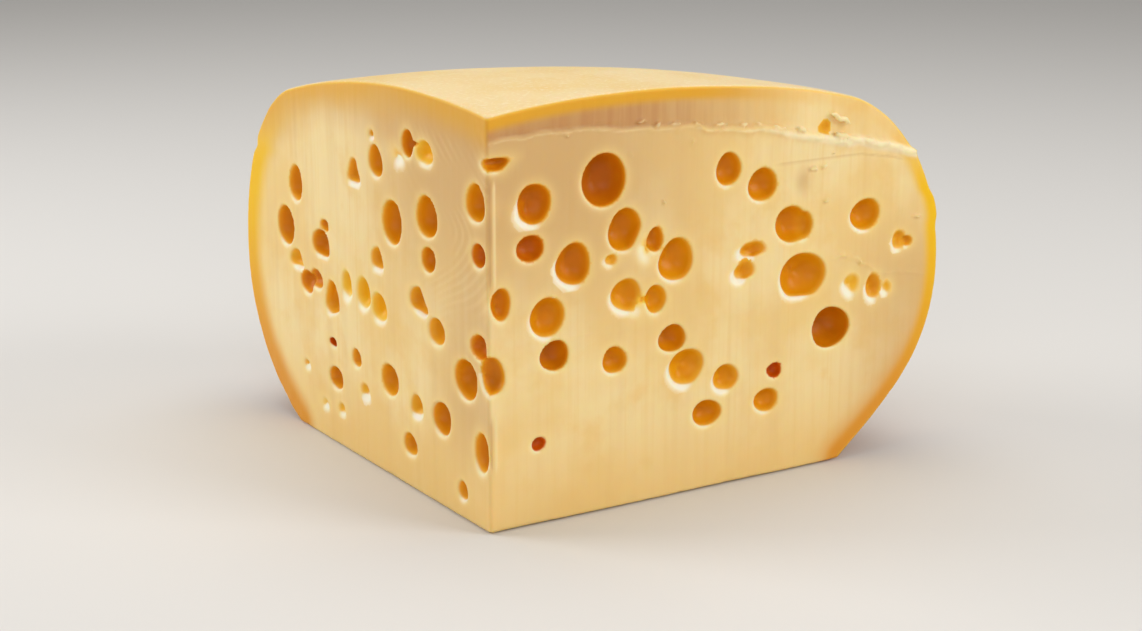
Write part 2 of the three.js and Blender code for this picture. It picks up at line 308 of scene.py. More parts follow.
def along_part(line, a, soft):
    """1 along the line's own length, and 0 beyond its ends."""
    return smooth_step(line[0][0] - soft, line[0][0] + soft, a) \
        * fade(line[-1][0] - soft, line[-1][0] + soft, a)


def over_ridge(a, b):
    """How far b is above the torn ridge."""
    return height_over(RIDGE, a, b) + RIDGE_WANDER * wander(a / 7, a * 0, 5)


def outward(pair, outer):
    """A size that grows outward: at the sharp edge, and what is added where outer is 1."""
    return pair[0] + pair[1] * outer


def dimple(a, b):
    """0 to 1 for how far into the shallow dimple between the right face's eyes this is."""
    along, up, half_width, half_height = DIMPLE
    return np.exp(-((a - along) / half_width) ** 2 - ((b - up) / half_height) ** 2)


def step_line(a, b):
    """0 to 1 for how near the fine line under the ridge, where the knife was set again, this is."""
    return along_part(LOWER_STEP, a, 5) * bell(height_over(LOWER_STEP, a, b), 0, 0.9)


def right_relief(a, b):
    """How far the right cut face stands out, over along (a) and up (b)."""
    relief = noises(RIGHT_SWELLS, a, b) + noises(RIGHT_STREAKS, a, b)
    relief -= DIMPLE_DEPTH * dimple(a, b)
    over = over_ridge(a, b) + RIDGE_JAG * wander(a / 1.6, a * 0, 6)
    outer = smooth_step(40, 115, a)
    relief -= outward(RIDGE_DROP, outer) * smooth_step(-0.3, 0.7 + outer, over)
    burr = outward(RIDGE_BURR, outer) * (0.8 + 0.5 * wander(a / 2.3, b / 2, 7))
    relief += burr * bell(over, -0.6, outward(RIDGE_WIDTH, outer))
    relief -= RIDGE_GROOVE * (1 - outer) * bell(over, 0.5, 0.6)
    over = height_over(LOWER_STEP, a, b) + 0.4 * wander(a / 5, a * 0, 8)
    relief -= STEP_DEPTH * along_part(LOWER_STEP, a, 5) * smooth_step(-0.5, 0.5, over) \
        * np.exp(-over.clip(0) / 7)
    over = height_over(WAVY_STEP, a, b) + 0.5 * wander(a / 4, a * 0, 9)
    relief += WAVY_RISE * along_part(WAVY_STEP, a, 3) * bell(over, 0, 0.7)
    over = height_over(KNIFE_LINE, a, b)
    relief += LINE_RISE * along_part(KNIFE_LINE, a, 6) * bell(over, 0, 0.55)
    return relief


def left_relief(a, b):
    """How far the left cut face stands out, over along (a) and up (b)."""
    relief = noises(LEFT_SWELLS, a, b) + noises(LEFT_STREAKS, a, b)
    return relief + CHATTER_RISE * chatter(a, b)


def chatter(a, b):
    """The curved marks, from -1 to 1, that the knife left beside the sharp edge."""
    bow = np.sqrt((b - 96) ** 2 + 16)
    sweep = (a * 0.63 - bow * 0.77 + 6 * wander(a / 30, b / 30, 24)) / CHATTER_PITCH
    near_edge = fade(20, 62, a) * smooth_step(45, 80, b)
    patchy = smooth_step(-0.35, 0.55, wander(a / 14, b / 11, 25))
    return near_edge * np.sin(2 * math.pi * sweep) * patchy


def flap(a, b):
    """The thin raised edge, with a crease, that the knife left beside the sharp edge, on
    the right face. It shows in two stretches, one high and one low."""
    spots = smooth_step(76, 84, b) * fade(112, 117, b) + smooth_step(18, 24, b) * fade(36, 42, b)
    return spots * (FLAP_RISE * bell(a, 2.4, 0.8) - FLAP_RISE * bell(a, 1.0, 0.6))


def relief_tables():
    a = np.arange(RELIEF_LOW, WHEEL_RADIUS + 5, RELIEF_STEP)
    b = np.arange(RELIEF_LOW, CENTRE_HEIGHT + 8, RELIEF_STEP)
    a, b = np.meshgrid(a, b, indexing="ij")
    at_rim = fade(WHEEL_RADIUS - RIM_CALM[0], WHEEL_RADIUS - RIM_CALM[1], a)
    at_edge = smooth_step(0, EDGE_CALM, a)
    left = left_relief(a, b) * at_rim * at_edge
    right = right_relief(a, b) * at_rim * at_edge + flap(a, b)
    return left, right


LEFT_RELIEF, RIGHT_RELIEF = relief_tables()


def relief_at(table, a, b):
    return at_table(table, a, b, RELIEF_LOW, RELIEF_LOW, RELIEF_STEP)


def torn_highlight(a, b, depth):
    """0 to 1 for how pale the right face's torn ridge and crumbs are: freshly torn paste, with a
    painted highlight where they catch the light.
    """
    outer = smooth_step(80, 150, a)
    torn = bell(over_ridge(a, b), -0.9, 0.5 + 1.3 * outer) * (0.3 + 0.7 * outer)
    stuck_on = -depth - relief_at(RIGHT_RELIEF, a, b)
    return np.maximum(torn, 0.4 * smooth_step(0.35, 0.9, stuck_on))


# ---------------------------------------------------------------- eyes
LEFT_LIPS = (-0.25, -0.97)      # where the lower lips lie, as (along, up), on each face
RIGHT_LIPS = (-0.72, -0.69)
LIP_SPREAD = (0.1, 0.95)  # the lip starts and is full at these cosines from its middle
SHARP_RIM = 0.8           # how widely a rim is rounded
SOFT_RIM = 1.9            # and how much more at a soft lip
RIM_TIGHT = 0.3           # the rim's rounding widens an eye by this, so its ball is smaller
SIDE_SOFT = 1.2
BULGE = (0.01, 0.035)     # how far out of round an eye is, as a share
SURROUND = 5              # how far beyond an eye its rim and its painted glow can reach
RIM_HIGHLIGHT_WIDTH = 1.3
RIM_HIGHLIGHT_ABOVE = 0.25         # how bright the painted highlight round a rim is at the top of an eye, against its lip
PAINTED_GLOW_WIDTH = 4.0


class Eye:
    """One bubble that the knife opened: a ball behind the face, out of round."""

    def __init__(self, seed, lips, along, up, width, height, depth, softness, darkness, sides=()):
        self.lips = lips
        self.a = along
        self.b = up
        self.mouth = math.sqrt(width * height) / 2
        self.ball = (self.mouth ** 2 + depth ** 2) / (2 * depth)
        self.behind = depth - self.ball
        self.wide = width / (2 * self.mouth)
        self.tall = height / (2 * self.mouth)
        self.softness = softness
        self.darkness = darkness
        self.sides = [(math.cos(math.radians(turn)), math.sin(math.radians(turn)), away)
                      for turn, away in sides]
        dice = np.random.default_rng(SEED * 1000 + seed)
        self.turn = dice.uniform(0, 2 * math.pi, 2)
        self.bulge = dice.uniform(*BULGE, 2)
        self.reach = max(self.mouth, self.ball) * max(self.wide, self.tall) + SURROUND
        self.deep = depth + SURROUND

    def near(self, a, b, d):
        """True where the eye can change the surface."""
        beside = (np.abs(a - self.a) < self.reach) & (np.abs(b - self.b) < self.reach)
        return beside & (d < self.deep)

    def distance(self, a, b, d):
        """Rough signed distance to the bubble, negative in its hollow."""
        across = (a - self.a) / self.wide
        upward = (b - self.b) / self.tall
        inward = d - self.behind
        angle = np.arctan2(upward, across)
        round_off = self.bulge[0] * np.sin(2 * angle + self.turn[0]) \
            + self.bulge[1] * np.sin(3 * angle + self.turn[1])
        size = self.ball * (1 + round_off) - RIM_TIGHT
        away = (np.sqrt(across ** 2 + upward ** 2 + inward ** 2) - size) * min(self.wide, self.tall)
        for side_a, side_b, reach in self.sides:
            away = soft_max(away, (a - self.a) * side_a + (b - self.b) * side_b - reach, SIDE_SOFT)
        return away

    def below(self, a, b):
        """0 to 1 for how far round to the side with the eye's lower lip this is."""
        dx = a - self.a
        dy = b - self.b
        length = np.sqrt(dx * dx + dy * dy) + 1e-6
        facing = (dx * self.lips[0] + dy * self.lips[1]) / length
        return smooth_step(*LIP_SPREAD, facing)

    def carve(self, solid, a, b, d):
        """The solid's distance with the eye cut out of it."""
        rim = SHARP_RIM + SOFT_RIM * self.softness * self.below(a, b)
        return soft_max(solid, -self.distance(a, b, d), rim)


def eyes_of(rows, seed, lips):
    """A face's eyes, from its rows of shares and sizes."""
    return [Eye(seed + i, lips, row[0] / 100 * WHEEL_RADIUS, row[1] / 100 * CENTRE_HEIGHT, *row[2:])
            for i, row in enumerate(rows)]


FACES = {
    "left": eyes_of(LEFT_EYES, 100, LEFT_LIPS),
    "right": eyes_of(RIGHT_EYES, 300, RIGHT_LIPS),
}


# ---------------------------------------------------------------- crumbs
# Shreds that stuck to the right face: along, up, length, thickness, turn in degrees.
CRUMBS = [
    (57, 128.3, 4, 1.1, -8), (63, 126.6, 3, 1.3, 20), (70, 126.3, 5, 1.0, -5),
    (79, 125.4, 4, 1.2, -15), (88, 124.6, 6, 1.1, -5), (97, 123.4, 3, 1.5, 30),
    (104, 122.8, 5, 1.1, -12), (112, 121, 6, 1.3, -22), (121, 119.4, 4, 1.8, -30),
    (137.5, 121.8, 10, 1.8, -24), (138, 116, 6, 2.0, -20), (143, 114.5, 5, 1.8, -10),
    (150, 113.2, 6, 1.9, -15), (157, 111.5, 5, 1.7, -18), (163, 110, 4, 1.5, -20),
    (126.5, 105.6, 3.5, 1.5, -20), (131, 106.4, 2.4, 1.3, 10), (136, 110, 3, 0.9, 0),
    (53, 118, 1.5, 0.9, 0), (77, 119.5, 2.5, 0.9, 80), (140, 73.8, 6, 1.1, 8),
    (148, 71, 5, 1.0, -35), (29, 126.6, 2, 0.9, 0), (66, 101, 2, 1.0, -40),
    (132.5, 94, 2.2, 1.2, 0), (24, 75, 1.4, 0.9, 0), (173, 84, 3.4, 1.0, 5),
]
CRUMB_SOFT = 0.5
CRUMB_REACH = 4           # no crumb changes the field deeper or further out than this
CRUMB_BEND = 0.35         # how far a shred waves to its sides, and how quickly
CRUMB_WAVE = 1.3
CRUMB_FLAT = 0.75         # half of a shred's depth, as a share of its thickness


def add_crumbs(solid, along, up, depth):
    """The solid's distance with the crumbs stuck on its right face."""
    for a, b, length, thick, turn in CRUMBS:
        near = np.nonzero((np.abs(along - a) < length) & (np.abs(up - b) < length)
                          & (np.abs(depth) < CRUMB_REACH))
        turn = math.radians(turn)
        da = along[near] - a
        db = up[near] - b
        lengthwise = da * math.cos(turn) + db * math.sin(turn)
        across = db * math.cos(turn) - da * math.sin(turn)
        across = across - CRUMB_BEND * np.sin(lengthwise * CRUMB_WAVE + a)
        size = np.sqrt((lengthwise / (length / 2)) ** 2 + (across / (thick / 2)) ** 2
                       + (depth[near] / (CRUMB_FLAT * thick)) ** 2)
        crumb = (size - 1) * thick / 2
        solid[near] = -soft_max(-solid[near], -crumb, CRUMB_SOFT)
    return solid


# ---------------------------------------------------------------- the whole field
RIND_DENTS = 0.35
BLISTER = (86.6, 5.5, 1.3)      # up, half height, and how far it stands out
NICK = (99, 2.2, 1.3)           # up, half height, and how deep it is


def rind_marks(u, v, z):
    """How far the rind stands out: a blister beside the right face, a nick beside the left."""
    up, half, rise = BLISTER
    blister = rise * np.exp(-((z - up) / half) ** 4) * smooth_step(14, 4, u) * (v > 150)
    up, half, drop = NICK
    nick = drop * bell(z, up, half) * smooth_step(8, 2, v) * (u > 140)
    return blister - nick


def rind_dents(u, v, z):
    """How far the rind is pressed in."""
    return RIND_DENTS * (0.5 + 0.5 * wander((u - v) / 31, z / 23, 41))


def coat_depth(u, v, z):
    """How far below the coated rind this is. The mesh's own rind lies INSET below it."""
    marks = rind_marks(u, v, z)
    marked = -wheel_distance(OUTLINE, u, v, z) + marks
    plain = wheel_distance(COAT, u, v, z)
    depth = np.where(np.abs(marks) > 0.02, marked, plain)
    return np.maximum(depth - rind_dents(u, v, z), 0)


def body(u, v, z):
    """Signed distance to the wedge without its eyes."""
    right = INSET - u - relief_at(RIGHT_RELIEF, v, z)
    left = INSET - v - relief_at(LEFT_RELIEF, u, z)
    cut = soft_max(left, right, EDGE_SOFT)
    rind = wheel_distance(OUTLINE, u, v, z) + INSET + rind_dents(u, v, z) - rind_marks(u, v, z)
    return soft_max(cut, rind, RIND_SOFT)


def face_frame(side, u, v):
    """(along, depth) of a face for points at u, v."""
    return (u, v) if side == "left" else (v, u)


def cheese(u, v, z):
    """Signed distance to the wedge with its eyes, for plain lists of points."""
    value = body(u, v, z)
    for side, eyes in FACES.items():
        along, depth = face_frame(side, u, v)
        for eye in eyes:
            near = np.nonzero(eye.near(along, z, depth))[0]
            value[near] = eye.carve(value[near], along[near], z[near], depth[near])
    return add_crumbs(value, v, z, u)


SKIN_CELLS = 8            # the crumbs lie within this many cells of the right face


def field_grid():
    """The field at every corner of the grid, and the grid's lines along u and v, and z."""
    side = np.arange(-GRID_MARGIN, WHEEL_RADIUS + GRID_MARGIN, CELL)
    up = np.arange(-GRID_MARGIN, CENTRE_HEIGHT + GRID_ABOVE, CELL)
    u = side[:, None, None]
    v = side[None, :, None]
    z = up[None, None, :]
    value = body(*np.broadcast_arrays(u, v, z)).astype(np.float32)
    for name, eyes in FACES.items():
        for eye in eyes:
            a_range = slice(*np.searchsorted(side, (eye.a - eye.reach, eye.a + eye.reach)))
            b_range = slice(*np.searchsorted(up, (eye.b - eye.reach, eye.b + eye.reach)))
            d_range = slice(0, int(np.searchsorted(side, eye.deep)))
            if name == "left":
                box = (a_range, d_range, b_range)
                along, depth = u[a_range], v[:, d_range]
            else:
                box = (d_range, a_range, b_range)
                along, depth = v[:, a_range], u[d_range]
            value[box] = eye.carve(value[box], along, z[:, :, b_range], depth)
    skin = slice(0, SKIN_CELLS)
    value[skin] = add_crumbs(value[skin], *np.broadcast_arrays(v, z, u[skin]))
    return value, side, up


# ---------------------------------------------------------------- from field to mesh
CORNERS = [(i, j, k) for i in (0, 1) for j in (0, 1) for k in (0, 1)]
EDGES = [(a, b) for a in range(8) for b in range(a + 1, 8)
         if sum(x != y for x, y in zip(CORNERS[a], CORNERS[b])) == 1]
JUST_INSIDE = -0.01 * CELL


def settle(value):
    """Fills the grid's corners where two hollows would touch along one edge only."""
    changed = True
    while changed:
        changed = False
        for first, second in ((0, 1), (0, 2), (1, 2)):
            sheet = np.moveaxis(value, (first, second), (0, 1))
            corner = [sheet[:-1, :-1], sheet[:-1, 1:], sheet[1:, 1:], sheet[1:, :-1]]
            inside = [c < 0 for c in corner]
            for i in (0, 1):
                crossed = inside[i] & inside[i + 2] & ~inside[1 - i] & ~inside[3 - i]
                if crossed.any():
                    changed = True
                    corner[1 - i][crossed] = JUST_INSIDE
                    corner[3 - i][crossed] = JUST_INSIDE


def surface_net(value):
    """Points (in cells) and four-sided faces of the field's zero level."""
    inside = value < 0
    cells = tuple(n - 1 for n in value.shape)
    count = np.zeros(cells, np.int8)
    for i, j, k in CORNERS:
        count += inside[i:i + cells[0], j:j + cells[1], k:k + cells[2]]
    active = (count > 0) & (count < 8)
    where = np.nonzero(active)
    number = np.full(cells, -1, np.int32)
    number[active] = np.arange(len(where[0]))
    corner_value = [value[where[0] + i, where[1] + j, where[2] + k] for i, j, k in CORNERS]
    total = np.zeros((len(where[0]), 3))
    crossings = np.zeros(len(where[0]))
    for a, b in EDGES:
        va, vb = corner_value[a], corner_value[b]
        crossed = (va < 0) != (vb < 0)
        share = np.where(crossed, va / np.where(crossed, va - vb, 1), 0)
        step = np.subtract(CORNERS[b], CORNERS[a])
        total += crossed[:, None] * (np.array(CORNERS[a]) + share[:, None] * step)
        crossings += crossed
    points = np.stack(where, 1) + total / crossings[:, None]
    quads = []
    for axis in range(3):
        low = np.moveaxis(inside, axis, 0)[:-1, 1:-1, 1:-1]
        high = np.moveaxis(inside, axis, 0)[1:, 1:-1, 1:-1]
        at = np.moveaxis(number, axis, 0)
        ring = [at[:, :-1, :-1], at[:, 1:, :-1], at[:, 1:, 1:], at[:, :-1, 1:]]
        for crossed, order in ((low & ~high, 1), (~low & high, -1)):
            turn = order if axis != 1 else -order
            quads.append(np.stack([r[crossed] for r in ring[::turn]], 1))
    return points, np.concatenate(quads)


def slope(points):
    """The field's gradient."""
    step = 0.05
    columns = []
    for axis in range(3):
        offset = np.zeros(3)
        offset[axis] = step
        columns.append((cheese(*(points + offset).T) - cheese(*(points - offset).T)) / (2 * step))
    return np.stack(columns, 1)


def pull_to_surface(points):
    """Moves the points onto the zero level."""
    for _ in range(FIT_ROUNDS):
        gradient = slope(points)
        steep = np.maximum(np.einsum("ij,ij->i", gradient, gradient), 0.1)
        move = -(cheese(*points.T) / steep)[:, None] * gradient
        length = np.linalg.norm(move, axis=1, keepdims=True)
        points = points + move * np.minimum(1, 0.5 * CELL / np.maximum(length, 1e-9))
    return points


def to_metres(points):
    u, v, z = points.T
    place = np.stack([(v - u) * COS_45, (u + v) * COS_45 - WHEEL_RADIUS / 2, z], 1)
    return place * MM


def from_metres(place):
    x, y, z = (place / MM).T
    y = y + WHEEL_RADIUS / 2
    return np.stack([(y - x) * COS_45, (y + x) * COS_45, z], 1)


def sculpt():
    """The wedge as a Blender object."""
    value, side, up = field_grid()
    settle(value)
    cells, quads = surface_net(value)
    points = cells * CELL + (side[0], side[0], up[0])
    points = pull_to_surface(points)
    mesh = bpy.data.meshes.new("cheese")
    mesh.from_pydata(to_metres(points).tolist(), [], quads[:, ::-1].tolist())
    mesh.validate()
    wedge = bpy.data.objects.new("cheese", mesh)
    bpy.context.collection.objects.link(wedge)
    return wedge, points


def thin_out(wedge, points):
    """Merges the small triangles of the rind, and leaves those of the cut faces."""
    depth = np.minimum(points[:, 0], points[:, 1])
    on_rind = np.abs(wheel_distance(OUTLINE, *points.T)) < 2 * INSET
    coarse = wedge.vertex_groups.new(name="coarse")
    coarse.add(np.nonzero(on_rind & (depth > RIND_FINE))[0].tolist(), 1.0, "REPLACE")
    fewer = wedge.modifiers.new("fewer", "DECIMATE")
    fewer.ratio = KEPT_SHARE
    fewer.vertex_group = coarse.name
    fewer.use_collapse_triangulate = True
    ready = wedge.evaluated_get(bpy.context.evaluated_depsgraph_get())
    mesh = bpy.data.meshes.new_from_object(ready)
    wedge.modifiers.clear()
    wedge.vertex_groups.clear()
    wedge.data = mesh
    mesh.shade_smooth()


def eye_marks(u, v, z):
    """What the eyes say of each point: how deep in an eye it lies, how dark and how softly lipped
    that eye is there, and how near it is to a rim (narrow for a painted highlight, wide for a
    painted glow)."""
    depth, dark, lip, rim_highlight, painted_glow = np.zeros((5, len(u)))
    for side, eyes in FACES.items():
        along, inward = face_frame(side, u, v)
        for eye in eyes:
            near = np.nonzero(eye.near(along, z, inward))[0]
            away = eye.distance(along[near], z[near], inward[near])
            below = eye.below(along[near], z[near])
            soft = eye.softness * below
            wall = (away < SHARP_RIM + SOFT_RIM * soft) & (inward[near] > depth[near])
            depth[near[wall]] = inward[near[wall]]
            dark[near[wall]] = eye.darkness
            lip[near[wall]] = soft[wall]
            away = np.maximum(away, 0)
            # painted highlight round the rim, brightest at the lower lip, which faces up to the
            # light
            bright = RIM_HIGHLIGHT_ABOVE + (1 - RIM_HIGHLIGHT_ABOVE) * below
            rim_highlight[near] = np.maximum(rim_highlight[near], np.exp(-away / RIM_HIGHLIGHT_WIDTH) * bright)
            # painted glow in the thin paste, a wide ring round the rim
            painted_glow[near] = np.maximum(painted_glow[near], np.exp(-away / PAINTED_GLOW_WIDTH))
    depth = np.minimum(depth, np.minimum(u, v).clip(0))
    return {"depth": depth, "dark": dark, "lip": lip, "rim_highlight": rim_highlight, "painted_glow": painted_glow}


def band_marks(along, z, coat, right):
    """The bands that follow the coating: painted lemon backlit glow, its dark line, a wider painted
    glow, and a tan zone, partly painted shade.
    """
    left = 1 - right
    cloudy = 6 * wander(along / 23, z / 15, 31)
    right_line = (1 - 0.9 * smooth_step(75, 125, along)) * fade(3, 6, coat)
    left_line = 0.75 * fade(0.5, 13, coat + 0.5 * cloudy)
    # tan zones under the top, partly their own colour and partly painted shade
    right_tan_and_shade = smooth_step(-0.6, 0.8, over_ridge(along, z)) \
        * (1 - 0.45 * smooth_step(50, 90, along)) * fade(80, 128, along)
    left_tan_and_shade = 0.5 * fade(3, 22, coat + cloudy) * smooth_step(92, 112, z)
    return {
        # painted backlit glow along the rim, and a wider painted glow on the left face below
        "backlit_glow": right * fade(1.5, 9, coat) + left * fade(2, 20, coat),
        "line": smooth_step(98, 118, z) * (right * right_line + left * left_line),
        "rim_glow": left * fade(5, 30, coat) * fade(80, 110, z),
        "tan_and_shade": right * right_tan_and_shade + left * left_tan_and_shade,
    }


def painted_shade_marks(along, z, right):
    """Painted shade on the paste: up beside the sharp edge, low and far on the right face,
    and in the dimple."""
    beside_edge = 0.75 * (1 - right) * fade(10, 48, along) * smooth_step(8, 40, z)
    far_low = 0.7 * right * smooth_step(128, 172, along) * fade(60, 100, z)
    high = fade(30, 110, along) * smooth_step(45, 115, z)
    return np.maximum(np.maximum(high, beside_edge), far_low) + 0.7 * right * dimple(along, z)


def mark(mesh):
    """Writes what the material reads at each point of the mesh."""
    place = np.empty(len(mesh.vertices) * 3, np.float32)
    mesh.vertices.foreach_get("co", place)
    u, v, z = from_metres(place.reshape(-1, 3).astype(float)).T
    along = np.maximum(u, v)
    coat = coat_depth(u, v, z)
    right = smooth_step(-1, 1, v - u)
    # painted highlight on the raised edge, and painted shade in its crease and along the fine step
    # line
    edge_highlight_and_crease_shade = flap(v, z) - 0.22 * step_line(along, z)
    fields = {
        **eye_marks(u, v, z),
        "edge": right * edge_highlight_and_crease_shade,
        "torn_highlight": right * torn_highlight(along, z, u),
        "coat": coat,
        **band_marks(along, z, coat, right),
        "grain": (1 - right) * chatter(along, z),
        "painted_shade": painted_shade_marks(along, z, right),
    }
    for name, numbers in fields.items():
        layer = mesh.attributes.new(name, "FLOAT", "POINT")
        layer.data.foreach_set("value", numbers.astype(np.float32))


# ---------------------------------------------------------------- material
class Nodes:
    """A short way to add nodes to a material. Heights are in metres, like the mesh, and the
    attributes that measure depth are in millimetres."""

    def __init__(self, material):
        self.tree = material.node_tree

    def add(self, kind, inputs=None, **settings):
        node = self.tree.nodes.new(kind)
        for name, value in settings.items():
            setattr(node, name, value)
        for name, value in (inputs or {}).items():
            if isinstance(value, bpy.types.NodeSocket):
                self.tree.links.new(value, node.inputs[name])
            else:
                node.inputs[name].default_value = value
        return node

    def attribute(self, name):
        return self.add("ShaderNodeAttribute", attribute_name=name).outputs["Fac"]

    def mix(self, factor, first, second):
        node = self.add("ShaderNodeMix", {0: factor, 6: first, 7: second}, data_type="RGBA")
        return node.outputs[2]

    def ramp(self, factor, stops):
        """A colour ramp: stops are (place, colour)."""
        node = self.add("ShaderNodeValToRGB", {"Fac": factor})
        band = node.color_ramp
        while len(band.elements) < len(stops):
            band.elements.new(0.5)
        for element, (place, colour) in zip(band.elements, stops):
            element.position = place
            element.color = colour
        return node.outputs["Color"]

    def range(self, value, low, high, to_low=0.0, to_high=1.0):
        """The value moved smoothly from one range to another. Low may be the larger."""
        node = self.add("ShaderNodeMapRange", {
            "Value": value, "From Min": low, "From Max": high, "To Min": to_low, "To Max": to_high})
        node.interpolation_type = "SMOOTHSTEP"
        return node.outputs["Result"]

    def times(self, a, b):
        return self.add("ShaderNodeMath", {0: a, 1: b}, operation="MULTIPLY").outputs[0]

    def noise(self, scale, stretch=(1, 1, 1), detail=2.0):
        place = self.add("ShaderNodeTexCoord").outputs["Object"]
        mapped = self.add("ShaderNodeMapping", {"Vector": place, "Scale": stretch}).outputs[0]
        node = self.add("ShaderNodeTexNoise", {"Vector": mapped, "Scale": scale, "Detail": detail})
        return node.outputs["Fac"]

    def height(self):
        place = self.add("ShaderNodeTexCoord").outputs["Object"]
        return self.add("ShaderNodeSeparateXYZ", {"Vector": place}).outputs["Z"]


def rgb(red, green, blue):
    return (red, green, blue, 1.0)


PASTE = rgb(0.88, 0.62, 0.25)
PASTE_PALE = rgb(0.93, 0.73, 0.37)
PASTE_WARM = rgb(0.86, 0.56, 0.19)
# the paste's painted shade colour, also used for its broad darker streaks
PASTE_SHADE_AND_STREAK = rgb(0.68, 0.42, 0.17)
TAN = rgb(0.58, 0.29, 0.11)
# painted glow of light through the thin paste, round the eyes and by the left rim
PAINTED_GLOW = rgb(0.95, 0.71, 0.28)
LEMON = rgb(0.90, 0.53, 0.01)
AMBER_RIM = rgb(0.76, 0.32, 0.03)
COAT_LINE = rgb(0.78, 0.40, 0.03)
COAT_THIN = rgb(0.87, 0.54, 0.07)
COAT_TOP = rgb(0.86, 0.65, 0.33)
COAT_TOP_YELLOW = rgb(0.82, 0.56, 0.20)
COAT_SIDE = rgb(0.86, 0.50, 0.01)
COAT_LOW = rgb(0.58, 0.20, 0.02)
# painted highlight on the eyes' lower lips, nearly white; also the coating's pale specks
LIP_HIGHLIGHT_AND_SPECK = rgb(1.0, 0.91, 0.72)
# pale cream painted highlight round each eye's rim
RIM_HIGHLIGHT = rgb(0.98, 0.83, 0.50)
# painted shade in the crease beside the raised edge and along the fine step line
CREASE_SHADE = rgb(0.50, 0.24, 0.08)
RED_EYE = rgb(0.66, 0.12, 0.002)
# the torn ridge and crumbs: pale torn paste with a painted highlight
TORN_HIGHLIGHT = rgb(0.97, 0.81, 0.50)
LIP_DEPTH = 1.5           # how much further in the wall's own colour starts at a soft lip, under its painted highlight
WALL_DEPTH = 10           # the wall's colours run down to this depth


def paste_colour(n):
    """Cut paste: cream, cloudy, with faint upright streaks."""
    cloud = n.range(n.noise(24, detail=4), 0.38, 0.62)
    colour = n.mix(cloud, PASTE, PASTE_PALE)
    patch = n.range(n.noise(60, detail=4), 0.52, 0.72, 0, 0.5)
    colour = n.mix(patch, colour, PASTE_WARM)
    streak = n.range(n.noise(520, (1, 1, 0.025), 3), 0.45, 0.8, 0, 0.35)
    colour = n.mix(streak, colour, PASTE_WARM)
    broad = n.range(n.noise(110, (1, 1, 0.05)), 0.5, 0.8, 0, 0.25)
    colour = n.mix(broad, colour, PASTE_SHADE_AND_STREAK)
    # painted warm bounce light, stronger towards the bottom
    low = n.range(n.height(), 0.04, 0.0, 0, 0.75)
    colour = n.mix(low, colour, PASTE_WARM)
    # painted shade on the paste
    colour = n.mix(n.times(n.attribute("painted_shade"), 0.95), colour, PASTE_SHADE_AND_STREAK)
    return n.mix(n.range(n.attribute("grain"), -0.5, 1.0, 0, 0.16), colour, PASTE_PALE)


def glowing_paste(n, colour):
    """Painted light on the paste: a yellower painted glow in the thin paste round each eye, a
    nearly white painted highlight at its lower lip, a painted highlight on the torn ridge and
    crumbs, and one on the raised edge beside the sharp edge, with painted shade in its crease."""
    # painted glow round each eye
    colour = n.mix(n.range(n.attribute("painted_glow"), 0.3, 1.0, 0, 0.5), colour, PAINTED_GLOW)
    # painted highlight round each rim
    colour = n.mix(n.range(n.attribute("rim_highlight"), 0.12, 0.85, 0, 0.95), colour, RIM_HIGHLIGHT)
    # painted highlight on the torn ridge and crumbs
    colour = n.mix(n.range(n.attribute("torn_highlight"), 0.05, 0.8, 0, 0.95), colour, TORN_HIGHLIGHT)
    edge = n.attribute("edge")
    # painted highlight on the raised edge
    colour = n.mix(n.range(edge, 0.05, 0.4, 0, 0.7), colour, PASTE_PALE)
    # painted shade in its crease and along the fine step line
    return n.mix(n.range(edge, -0.08, -0.4, 0, 0.7), colour, CREASE_SHADE)


def tan_band_and_shade(n, colour, tan_and_shade):
    """The tan zone under the top, partly its own colour and partly painted shade."""
    streak = n.range(n.noise(300, (1, 1, 0.08), 3), 0.3, 0.7, 0.7, 1.0)
    return n.mix(n.times(tan_and_shade, streak), colour, TAN)


def rim_colour(n, colour, coat):
    """The paste next to the coating: amber low down, with a painted backlit glow, yellow higher up
    and amber lower, a wider painted glow on the left face, and the darker line of the coating's own
    edge at the top."""
    height = n.height()
    low = n.range(height, 0.085, 0.015)
    painted_glow = n.mix(low, LEMON, AMBER_RIM)
    wide = n.times(n.range(coat, 13, 1), n.range(height, 0.075, 0.015, 0, 0.8))
    colour = n.mix(wide, colour, AMBER_RIM)
    # a wider painted glow on the left face by the coating
    colour = n.mix(n.times(n.attribute("rim_glow"), 0.45), colour, PAINTED_GLOW)
    # painted backlit glow along the rim
    sunlit = n.times(n.range(n.attribute("backlit_glow"), 0.05, 0.9),
                     n.range(height, 0.122, 0.092, 0.1, 1.0))
    colour = n.mix(sunlit, colour, painted_glow)
    colour = n.mix(n.attribute("line"), colour, COAT_LINE)
    return n.mix(n.range(coat, 1.6, 0.5, 0, 0.7), colour, COAT_THIN)


def coat_colour(n):
    """The coating: pale on top, yellow round the side, deep orange lower down."""
    height = n.height()
    worn = n.range(n.noise(34, detail=5), 0.45, 0.75, 0, 0.45)
    side = n.mix(worn, n.mix(n.range(height, 0.075, 0.02), COAT_SIDE, COAT_LOW), LEMON)
    patch = n.range(n.noise(26, detail=4), 0.4, 0.75)
    top = n.mix(patch, COAT_TOP, COAT_TOP_YELLOW)
    speck = n.range(n.noise(700, detail=4), 0.5, 0.75, 0, 0.35)
    top = n.mix(speck, top, LIP_HIGHLIGHT_AND_SPECK)
    return n.mix(n.range(height, 0.108, 0.126), side, top)


